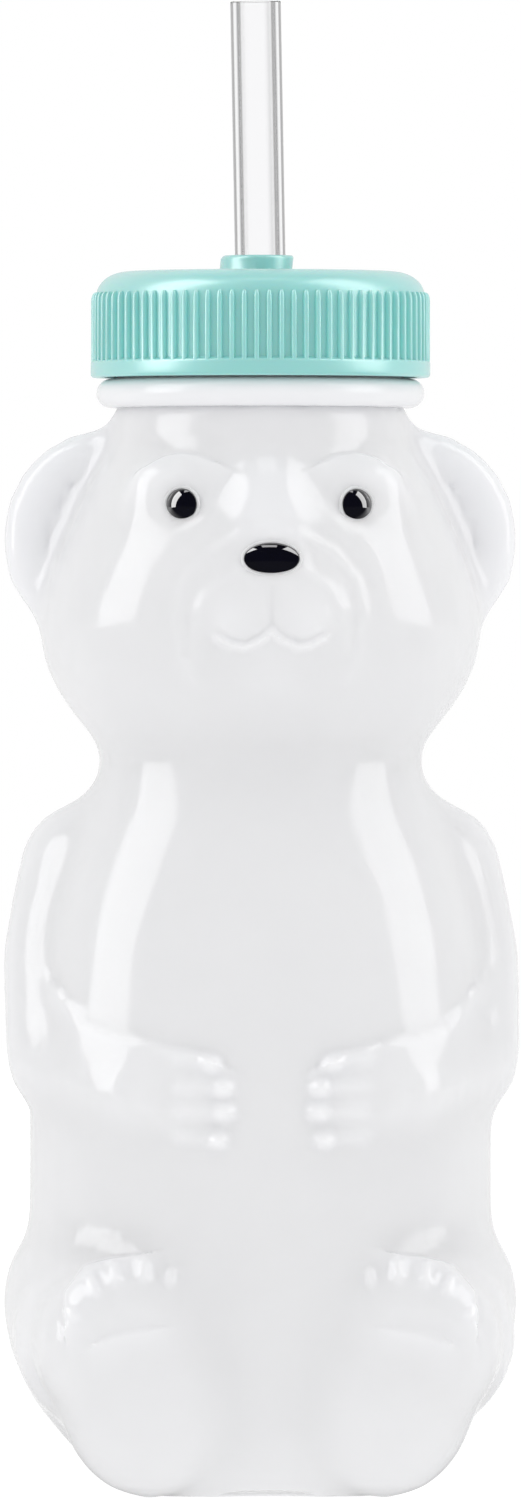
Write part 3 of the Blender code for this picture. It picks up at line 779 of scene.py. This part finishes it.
class STRAWCUP_OT_bear_bottle(bpy.types.Operator):
    """Models the blown bear bottle with its neck, mouth and base"""

    bl_idname = "straw_cup.bear_bottle"
    bl_label = "Bear bottle"

    def masses(self, settings):
        """The large forms grown into one: trunk, head, neck, limbs and brows."""
        neck_foot, neck_top = BODY_HEIGHT - NECK_BEAD_HEIGHT * 3, BODY_HEIGHT + NECK_BEAD_HEIGHT / 2
        things = [body_loft(), cylinder(NECK_RADIUS, neck_foot, neck_top), form(FACE), form(MUZZLE)]
        for side in (-1, 1):
            things += [form(share, side) for share in (BROW, THIGH, HEEL, SOLE)]
            things += limb([body_point(place, side) for place in ARM_PLACES], metres(*ARM_RADII))
        masses = outward(joined("bear_masses", things))
        modified(masses, "REMESH", mode="VOXEL", voxel_size=settings.form_cell)
        return modified(masses, "SMOOTH", factor=0.5, iterations=7)

    def ear(self, centre):
        """A flat web in a round rim, a little taller above its middle than below."""
        reach = EAR_RADIUS - EAR_RIM_RADIUS
        settle()
        bpy.ops.mesh.primitive_cylinder_add(
            vertices=48, radius=reach, depth=EAR_WEB, location=centre, rotation=(math.pi / 2, 0, 0)
        )
        web = placed(bpy.context.object)
        settle()
        bpy.ops.mesh.primitive_torus_add(
            major_radius=reach,
            minor_radius=EAR_RIM_RADIUS,
            major_segments=64,
            minor_segments=24,
            location=centre,
            rotation=(math.pi / 2, 0, 0),
        )
        ear = joined("ear", [placed(bpy.context.object), web])
        points = points_of(ear)
        rise = points[:, 2] - centre.z
        points[:, 2] += np.where(rise > 0, rise * (EAR_TALLER - 1), 0)
        move_points(ear, points)
        return ear

    def skin(self, masses, settings):
        """The outside: the masses with the ears and the finer pads, seats for the beads and the strokes."""
        pick(masses)
        bpy.ops.object.duplicate()
        things = [bpy.context.object, form(CHIN)]
        for side in (-1, 1):
            things += [self.ear(body_point(EAR_PLACE, side)), form(CHEEK_PAD, side), form(THIGH_TOP, side)]
        skin = joined("bear_shell", things)
        modified(skin, "REMESH", mode="VOXEL", voxel_size=settings.skin_cell)
        modified(skin, "SMOOTH", factor=0.5, iterations=3)
        modified(skin, "SUBSURF", levels=1, render_levels=1)
        for node, (point, axis, normal) in bead_seats(skin).items():
            flattened(skin, point, (axis + normal * 2).normalized(), (BEADS[node][0] + SEAT_MARGIN) * MM)
        refined(skin)
        sculpted(skin, settings.detail)
        return modified(skin, "SMOOTH", factor=0.4, iterations=1)

    def lip(self, node, point, axis):
        """The fine raised edge round a bead's seat: a torus drawn to the bead's outline, in millimetres."""
        half_width, half_height, _ = BEADS[node]
        tube, clearance, half_thickness, stretch = 0.1, 0.1, 0.22, 2.6
        settle()
        bpy.ops.mesh.primitive_torus_add(
            major_radius=1, minor_radius=tube, major_segments=56, minor_segments=10
        )
        ring = bpy.context.object
        points = points_of(ring)
        reach = np.hypot(points[:, 0], points[:, 1])
        offset = (reach - 1) / tube * half_thickness
        around = points[:, :2] / reach[:, None]
        points[:, 0] = around[:, 0] * (half_width + clearance + offset)
        points[:, 1] = around[:, 1] * (half_height + clearance + offset)
        points[:, 2] *= stretch
        move_points(ring, points * MM)
        ring.matrix_world = facing_matrix(point, axis)
        return placed(ring)

    def neck(self):
        """The finish over the body: the rounded rim, the plain wall and the bead under the lid."""
        half = (NECK_BEAD_TOP - BODY_HEIGHT) / 2
        edge, inner = RIM_EDGE, NECK_RADIUS - OVERRUN
        profile = [(FINISH_RADIUS - edge, RIM_TOP)]
        profile += rounded(FINISH_RADIUS, RIM_TOP - edge, edge, 75, 0)
        profile += [(FINISH_RADIUS, NECK_BEAD_TOP + edge / 2), (FINISH_RADIUS + edge / 2, NECK_BEAD_TOP)]
        profile += rounded(NECK_BEAD_RADIUS, BODY_HEIGHT + half, half, 85, -85, 15)
        profile += [(inner, BODY_HEIGHT), (inner, BODY_HEIGHT - NECK_BEAD_HEIGHT)]
        return lathe("neck_finish", profile, 128)

    def cavity(self, masses, settings):
        """The inside: the masses drawn in by the wall, over the base and its push-up."""
        modified(masses, "DISPLACE", mid_level=0, strength=-BOTTLE_WALL)
        modified(masses, "REMESH", mode="VOXEL", voxel_size=settings.cavity_cell)
        modified(masses, "SMOOTH", factor=0.5, iterations=2)
        combined(masses, self.block(BOTTLE_WALL), "DIFFERENCE")
        return combined(masses, self.push_up(BOTTLE_WALL), "DIFFERENCE")

    def block(self, top):
        """A block under this height, to cut a flat base."""
        size = 0.1
        settle()
        bpy.ops.mesh.primitive_cube_add(size=size, location=(0, 0, top - size / 2))
        return placed(bpy.context.object)

    def push_up(self, wall):
        return ellipsoid((0, 0, 0), [half_size + wall for half_size in metres(*PUSH_UP)])

    def execute(self, context):
        settings = context.scene.straw_cup
        masses = self.masses(settings)
        bottle = self.skin(masses, settings)
        for node, (point, axis, _) in bead_seats(bottle).items():
            combined(bottle, self.lip(node, point, axis), "UNION")
        combined(bottle, self.neck(), "UNION")
        combined(bottle, self.cavity(masses, settings), "DIFFERENCE")
        mouth = cylinder(MOUTH_RADIUS, BODY_HEIGHT - NECK_BEAD_HEIGHT, RIM_TOP + OVERRUN, 128)
        combined(bottle, mouth, "DIFFERENCE")
        combined(bottle, self.block(0), "DIFFERENCE")
        combined(bottle, self.push_up(0), "DIFFERENCE")
        combined(bottle, ellipsoid(metres(*ARCH_PLACE), metres(*ARCH)), "DIFFERENCE")
        smooth(bottle)
        dressed(bottle, milky_plastic(settings), "bottle", "milky_plastic", "bear_bottle")
        return {"FINISHED"}


class STRAWCUP_OT_face_beads(bpy.types.Operator):
    """Sets the domed eyes and nose into the bear's face"""

    bl_idname = "straw_cup.face_beads"
    bl_label = "Eyes and nose"

    def execute(self, context):
        settings = context.scene.straw_cup
        material = dark_gloss(settings)
        for node, (point, axis, _) in bead_seats(bpy.data.objects["bear_shell"]).items():
            half_width, half_height, rise = BEADS[node]
            settle()
            bpy.ops.mesh.primitive_uv_sphere_add(segments=48, ring_count=24, radius=1)
            bead = named(node + "_bead")
            points = points_of(bead)
            up = points[:, 2]
            points[:, 2] = np.where(up > 0, up**2 * rise, up * BEAD_SUNK)
            points *= np.array((half_width, half_height, 1.0)) * MM
            move_points(bead, points)
            bead.matrix_world = facing_matrix(point, axis)
            placed(bead)
            smooth(bead, 60)
            dressed(bead, material, "bottle", "dark_gloss", node)
        return {"FINISHED"}


class STRAWCUP_OT_neck_thread(bpy.types.Operator):
    """Winds the raised screw thread round the bottle's neck finish"""

    bl_idname = "straw_cup.neck_thread"
    bl_label = "Neck thread"

    def execute(self, context):
        thread = helix(
            "neck_thread", FINISH_RADIUS, 1, NECK_THREAD_START, NECK_THREAD_TURNS, NECK_THREAD_RADIUS
        )
        smooth(thread, 50)
        dressed(thread, bpy.data.objects["bear_shell"].data.materials[0], "bottle", "milky_plastic")
        return {"FINISHED"}


class STRAWCUP_OT_lid(bpy.types.Operator):
    """Models the ribbed lid with its straw boss, socket and inner thread"""

    bl_idname = "straw_cup.lid"
    bl_label = "Lid"

    def cap(self):
        """The closed form of the lid: a domed shoulder, the plain wall that the ribs stand on, the band."""
        centre = (LID_ROOT_RADIUS - SHOULDER_REACH, LID_TOP - SHOULDER_DROP)
        step, corner = lid_low.z + BAND_HEIGHT, 0.2 * MM
        profile = arc(centre, (SHOULDER_REACH, SHOULDER_DROP), 90, 0, 14)
        profile += [(LID_ROOT_RADIUS, step + corner)]
        profile += rounded(LID_BAND_RADIUS, step - LID_EDGE, LID_EDGE, 80, 0)
        profile += rounded(LID_BAND_RADIUS, lid_low.z + LID_EDGE, LID_EDGE, 0, -90)
        return lathe("lid_shell", profile, 168)

    def ribs(self, count):
        """Squarish grip ribs from inside the band up, whose tops run out into the shoulder."""
        squareness, sunk, over_shoulder = 0.7, 0.2 * MM, 0.4 * MM
        low = lid_low.z + BAND_HEIGHT - sunk
        high = LID_TOP - SHOULDER_DROP + over_shoulder
        rises = [high - low - RIB_RUN_OUT] + [RIB_RUN_OUT * share for share in (0.40, 0.30, 0.20, 0.10)]
        settle()
        bpy.ops.mesh.primitive_circle_add(vertices=16, radius=1, fill_type="NGON", location=(0, 0, low))
        bpy.ops.object.transform_apply(location=True)
        rib = bpy.context.object
        edit_all(rib)
        for rise, factor in zip(rises, (1.0, 0.93, 0.80, 0.66, 0.60)):
            bpy.ops.mesh.extrude_region_move(TRANSFORM_OT_translate={"value": (0, 0, rise)})
            bpy.ops.transform.resize(value=(factor, factor, 1), center_override=(0, 0, 0))
        bpy.ops.object.mode_set(mode="OBJECT")
        points = points_of(rib)
        points[:, :2] = np.sign(points[:, :2]) * np.abs(points[:, :2]) ** squareness
        points *= np.array((RIB_HEIGHT, RIB_HALF_WIDTH, 1))
        move_points(rib, points + np.array((LID_ROOT_RADIUS, 0, 0)))
        outward(rib)
        copies = [rib]
        for i in range(1, count):
            copy = bpy.data.objects.new("rib", rib.data.copy())
            copy.data.transform(Matrix.Rotation(math.tau * i / count, 4, "Z"))
            bpy.context.scene.collection.objects.link(copy)
            copies.append(copy)
        return joined("ribs", copies)

    def hollow(self):
        profile = [
            (LID_BORE_RADIUS - LID_EDGE, LID_UNDER),
            (LID_BORE_RADIUS, LID_UNDER - LID_EDGE),
            (LID_BORE_RADIUS, lid_low.z - OVERRUN),
        ]
        return lathe("hollow", profile, 168)

    def boss(self):
        """The boss round the straw: it stands off the lid's axis, and its rim leans part of the way back."""
        shift, rim_return = -0.55 * MM, 0.3 * MM
        lean_from, lean_over = 1.2 * MM, 0.8 * MM
        rim_radius, foot_radius = 3.6 * MM, 4.75 * MM
        foot_above, foot_below, root = 0.25 * MM, 0.1 * MM, 0.3 * MM
        top = LID_TOP + BOSS_HEIGHT
        profile = [(rim_radius, top)]
        profile += rounded(BOSS_RADIUS, top - BOSS_EDGE, BOSS_EDGE, 75, 0)
        profile += [
            (BOSS_RADIUS, LID_TOP + foot_above),
            (foot_radius, LID_TOP - foot_below),
            (BOSS_RADIUS, LID_UNDER + root),
        ]
        boss = lathe("boss", profile, 64)
        points = points_of(boss)
        lean = np.clip((points[:, 2] - LID_TOP - lean_from) / lean_over, 0, 1)
        points[:, 0] += shift + lean * rim_return
        move_points(boss, points)
        return boss

    def socket(self):
        """The collar under the lid that holds the grommet."""
        sunk = 0.5 * MM
        inner = grommet_high.x + GROMMET_GAP
        outer, root = inner + SOCKET_WALL, LID_UNDER + sunk
        profile = [(outer, root), (outer, grommet_low.z), (inner, grommet_low.z), (inner, root)]
        return lathe("socket", profile, 64, ring=True)

    def port(self):
        """The hole for the straw, with a bevelled mouth."""
        top, wide = LID_TOP + BOSS_HEIGHT, 4.0 * MM
        profile = [
            (wide, top + OVERRUN),
            (PORT_RADIUS + PORT_BEVEL, top),
            (PORT_RADIUS, top - PORT_BEVEL),
            (PORT_RADIUS, LID_UNDER - OVERRUN),
        ]
        return lathe("port", profile, 64)

    def execute(self, context):
        settings = context.scene.straw_cup
        lid = self.cap()
        combined(lid, self.ribs(settings.rib_count), "UNION")
        combined(lid, self.hollow(), "DIFFERENCE")
        combined(lid, self.boss(), "UNION")
        combined(lid, self.socket(), "UNION")
        combined(lid, self.port(), "DIFFERENCE")
        smooth(lid, 40)
        material = mint_plastic(settings)
        dressed(lid, material, "lid", "mint_plastic", "lid")
        thread = helix(
            "lid_thread", LID_BORE_RADIUS, -1, LID_THREAD_START, LID_THREAD_TURNS, LID_THREAD_RADIUS
        )
        smooth(thread, 50)
        dressed(thread, material, "lid", "mint_plastic")
        return {"FINISHED"}


class STRAWCUP_OT_seals(bpy.types.Operator):
    """Gives the gasket and the grommet their soft silicone"""

    bl_idname = "straw_cup.seals"
    bl_label = "Gasket and grommet"

    def execute(self, context):
        material = soft_silicone(context.scene.straw_cup)
        for node in ("lid_gasket", "straw_grommet"):
            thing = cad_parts[node]
            thing.data.materials.clear()
            thing.data.materials.append(material)
        return {"FINISHED"}


class STRAWCUP_OT_drinking_straw(bpy.types.Operator):
    """Models the clear drinking straw with its softened cut ends"""

    bl_idname = "straw_cup.drinking_straw"
    bl_label = "Drinking straw"

    def execute(self, context):
        outer, inner, top, foot, edge = STRAW_RADIUS, STRAW_BORE_RADIUS, STRAW_TOP, STRAW_FOOT, STRAW_EDGE
        profile = [
            (outer - edge, top),
            (outer, top - edge),
            (outer, foot + edge),
            (outer - edge, foot),
            (inner + edge, foot),
            (inner, foot + edge),
            (inner, top - edge),
            (inner + edge, top),
        ]
        straw = lathe("clear_straw", profile, 72, ring=True)
        straw.location = (0, 0, LID_TOP)
        straw.rotation_euler.y = math.radians(STRAW_LEAN)
        placed(straw)
        smooth(straw, 30)
        dressed(straw, clear_plastic(context.scene.straw_cup), "straw", "clear_plastic", "drinking_straw")
        return {"FINISHED"}


class STRAWCUP_OT_stage(bpy.types.Operator):
    """Sets the pale floor, the studio light and the camera"""

    bl_idname = "straw_cup.stage"
    bl_label = "Stage"

    def lit_grey(self, graph, grey, glow):
        """A matt grey that also glows."""
        matt = graph.add("ShaderNodeBsdfDiffuse", Color=(grey, grey, grey, 1))
        lit = graph.add("ShaderNodeEmission", Strength=glow)
        both = graph.add("ShaderNodeAddShader")
        graph.links.new(matt.outputs[0], both.inputs[0])
        graph.links.new(lit.outputs[0], both.inputs[1])
        return both

    def by_ray(self, graph, ray, out, plain, shades):
        """Shows each kind of ray its own shade, and every other ray the plain one."""
        seen = plain
        for kind, shade in shades:
            mix = graph.add("ShaderNodeMixShader")
            graph.links.new(ray.outputs[kind], mix.inputs[0])
            graph.links.new(seen.outputs[0], mix.inputs[1])
            graph.links.new(shade.outputs[0], mix.inputs[2])
            seen = mix
        graph.links.new(seen.outputs[0], graph.add(out).inputs["Surface"])

    def floor(self):
        """A pale glowing ground that reflections see as dark in front and light behind."""
        size = 8
        settle()
        bpy.ops.mesh.primitive_plane_add(size=size)
        floor = named("studio_floor")
        material = bpy.data.materials.new("studio_floor")
        material.use_nodes = True
        graph = Graph(material.node_tree)
        graph.nodes.clear()
        place = graph.add("ShaderNodeTexCoord").outputs["Object"]
        depth = graph.add("ShaderNodeSeparateXYZ", Vector=place).outputs["Y"]
        mirrored = graph.add("ShaderNodeEmission", Strength=graph.graded(depth, (-0.1, 0.1), (0.03, 0.88)))
        shown = self.lit_grey(graph, 0.32, 0.76)
        shades = (("Is Glossy Ray", mirrored), ("Is Transmission Ray", shown), ("Is Camera Ray", shown))
        ray = graph.add("ShaderNodeLightPath")
        self.by_ray(graph, ray, "ShaderNodeOutputMaterial", self.lit_grey(graph, 0.12, 0.90), shades)
        floor.data.materials.append(material)

    def lighter_through(self, graph, ray, grey):
        """The same grey, but pale at least where a ray has gone through a whole tube, wall by wall."""
        walls, least = 3, 0.82
        through = graph.maths("GREATER_THAN", ray.outputs["Transmission Depth"], walls)
        return graph.maths("MAXIMUM", grey, graph.maths("MULTIPLY", through, least))

    def world(self, scene):
        """White all round, with greys over Y for what reflects it and what shows it through a clear wall."""
        world = bpy.data.worlds.new("studio")
        scene.world = world
        world.use_nodes = True
        graph = Graph(world.node_tree)
        graph.nodes.clear()
        direction = graph.add("ShaderNodeTexCoord").outputs["Generated"]
        depth = graph.add("ShaderNodeSeparateXYZ", Vector=direction).outputs["Y"]
        ray = graph.add("ShaderNodeLightPath")
        glossy = graph.graded(depth, (0.0, 0.6), (0.015, 0.88))
        clear = self.lighter_through(graph, ray, graph.graded(depth, (0.80, 0.98), (0.38, 1.0)))
        colours = (("Is Glossy Ray", glossy), ("Is Transmission Ray", clear), ("Is Camera Ray", (1, 1, 1, 1)))
        shades = [(kind, graph.add("ShaderNodeBackground", Color=colour)) for kind, colour in colours]
        plain = graph.add("ShaderNodeBackground", Color=graph.graded(depth, (-1, 1), (1.0, 0.97)))
        self.by_ray(graph, ray, "ShaderNodeOutputWorld", plain, shades)

    def lamp(self, name, place, aim, size, radiance):
        """A soft box that lights reflections only."""
        light = bpy.data.lights.new(name, "AREA")
        light.shape = "RECTANGLE"
        light.size, light.size_y = size
        light.energy = radiance * math.pi * size[0] * size[1]
        thing = bpy.data.objects.new(name, light)
        bpy.context.scene.collection.objects.link(thing)
        thing.location = place
        thing.rotation_euler = (Vector(aim) - Vector(place)).to_track_quat("-Z", "Y").to_euler()
        thing.visible_transmission = False
        thing.visible_diffuse = False

    def lamps(self):
        """A tall soft box on each side of the cup and a small one over it."""
        reach, height, size = 0.6, 0.47, (0.40, 1.0)
        for name, degrees, radiance in (("left_softbox", -76, 3.8), ("right_softbox", 76, 2.9)):
            angle = math.radians(degrees)
            place = (reach * math.sin(angle), -reach * math.cos(angle), height)
            self.lamp(name, place, (0, 0, 0.10), size, radiance)
        self.lamp("top_softbox", (0, -0.08, 0.70), (0, 0, 0.12), (0.20, 0.10), 1.8)

    def camera(self, scene):
        """A level camera a little to the bear's right, whose picture is one span wide at the cup."""
        turn = math.radians(-3)
        distance, height, span = 2.7, 0.091, 0.18375
        lens = bpy.data.cameras.new("camera")
        camera = bpy.data.objects.new("camera", lens)
        scene.collection.objects.link(camera)
        scene.camera = camera
        camera.location = (distance * math.sin(turn), -distance * math.cos(turn), height)
        camera.rotation_euler = (math.pi / 2, 0, turn)
        lens.lens = lens.sensor_width * distance / span
        lens.clip_end = 20

    def execute(self, context):
        scene = context.scene
        self.floor()
        self.world(scene)
        self.lamps()
        self.camera(scene)
        scene.view_settings.view_transform = "Standard"
        return {"FINISHED"}


class STRAWCUP_PT_panel(bpy.types.Panel):
    """Lists the cup's settings and its operators in the sidebar"""

    bl_label = "Straw Cup"
    bl_idname = "STRAWCUP_PT_panel"
    bl_space_type = "VIEW_3D"
    bl_region_type = "UI"
    bl_category = "Straw Cup"

    def draw(self, context):
        settings = context.scene.straw_cup
        for name in settings.bl_rna.properties.keys():
            if name not in ("rna_type", "name"):
                self.layout.prop(settings, name)
        for operator in OPERATORS:
            self.layout.operator(operator.bl_idname)


OPERATORS = (
    STRAWCUP_OT_bear_bottle,
    STRAWCUP_OT_face_beads,
    STRAWCUP_OT_neck_thread,
    STRAWCUP_OT_lid,
    STRAWCUP_OT_seals,
    STRAWCUP_OT_drinking_straw,
    STRAWCUP_OT_stage,
)


def register():
    bpy.utils.register_class(StrawCupSettings)
    for operator in OPERATORS:
        bpy.utils.register_class(operator)
    bpy.utils.register_class(STRAWCUP_PT_panel)
    bpy.types.Scene.straw_cup = PointerProperty(type=StrawCupSettings)


def unregister():
    del bpy.types.Scene.straw_cup
    bpy.utils.unregister_class(STRAWCUP_PT_panel)
    for operator in reversed(OPERATORS):
        bpy.utils.unregister_class(operator)
    bpy.utils.unregister_class(StrawCupSettings)


def main():
    register()
    bpy.ops.straw_cup.bear_bottle()
    bpy.ops.straw_cup.face_beads()
    bpy.ops.straw_cup.neck_thread()
    bpy.ops.straw_cup.lid()
    bpy.ops.straw_cup.seals()
    bpy.ops.straw_cup.drinking_straw()
    bpy.ops.straw_cup.stage()


if __name__ == "__main__":
    main()
